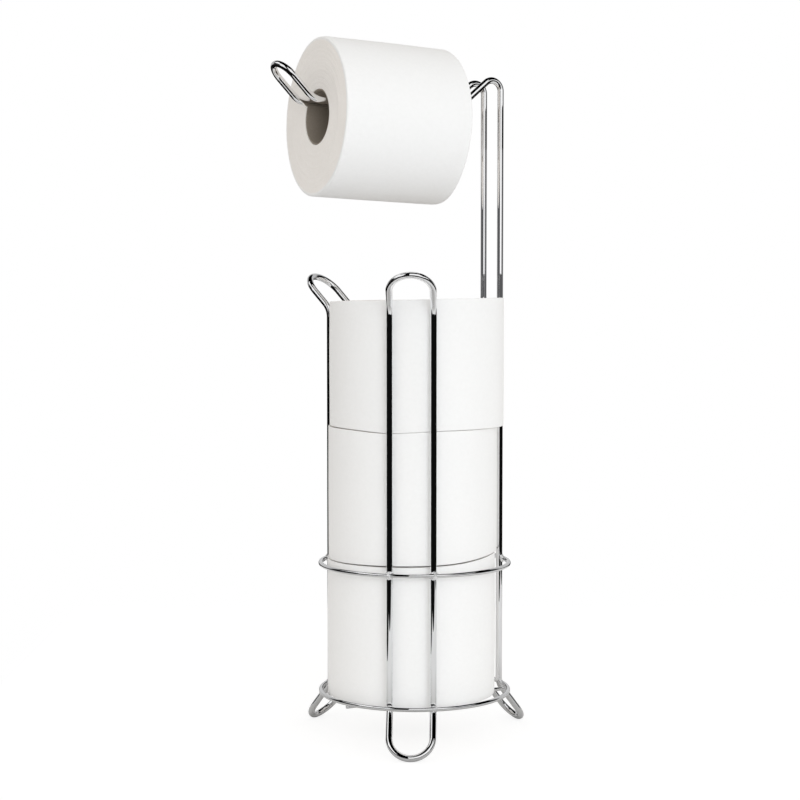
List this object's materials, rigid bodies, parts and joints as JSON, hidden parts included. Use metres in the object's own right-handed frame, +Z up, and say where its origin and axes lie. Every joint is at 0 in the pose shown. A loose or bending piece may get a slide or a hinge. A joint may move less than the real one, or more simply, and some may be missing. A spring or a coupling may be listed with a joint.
{
  "type": "toilet roll storage holder",
  "caption": "Free-standing bent wire toilet roll holder: a ringed basket stores spare rolls upright and a swan-neck arm carries the roll in use.",
  "frame": {"origin": "on the floor, at the vertical axis of the round basket", "axes": "+Z up, +X towards the tall post, the arm points to -X, the front leg is at 240 degrees"},
  "size_m": [0.2145, 0.1724, 0.5323],
  "materials": {
    "chrome_wire": "polished",
    "chrome_weld": "plated weld",
    "tissue": "soft embossed paper",
    "core_board": "bare grey board"
  },
  "bodies": {
    "stand": {"front_leg": "chrome_wire", "rear_leg": "chrome_wire", "post_and_arm": "chrome_wire", "middle_ring": "chrome_wire", "lower_ring": "chrome_wire", "left_floor_wire": "chrome_wire", "right_floor_wire": "chrome_wire", "middle_ring_welds": "chrome_weld", "lower_ring_welds": "chrome_weld", "floor_wire_welds": "chrome_weld"},
    "bottom_roll": {"bottom_roll_paper": "tissue", "bottom_roll_core": "core_board"},
    "middle_roll": {"middle_roll_paper": "tissue", "middle_roll_core": "core_board"},
    "top_roll": {"top_roll_paper": "tissue", "top_roll_core": "core_board"},
    "hanging_roll": {"hanging_roll_paper": "tissue", "hanging_roll_core": "core_board"}
  },
  "joints": [
    {"name": "bottom_roll_lift", "type": "slide", "parent": "stand", "child": "bottom_roll", "axis": [0, 0, 1], "range_m": [0, 0.023]},
    {"name": "middle_roll_lift", "type": "slide", "parent": "bottom_roll", "child": "middle_roll", "axis": [0, 0, 1], "range_m": [0, 0.023]},
    {"name": "top_roll_lift", "type": "slide", "parent": "middle_roll", "child": "top_roll", "axis": [0, 0, 1], "range_m": [0, 0.023]},
    {"name": "hanging_roll_turn", "type": "hinge", "parent": "stand", "child": "hanging_roll", "pos_m": [-0.03253, 0, 0.47117], "axis": [-0.9993, 0, 0.0384], "continuous": true}
  ]
}
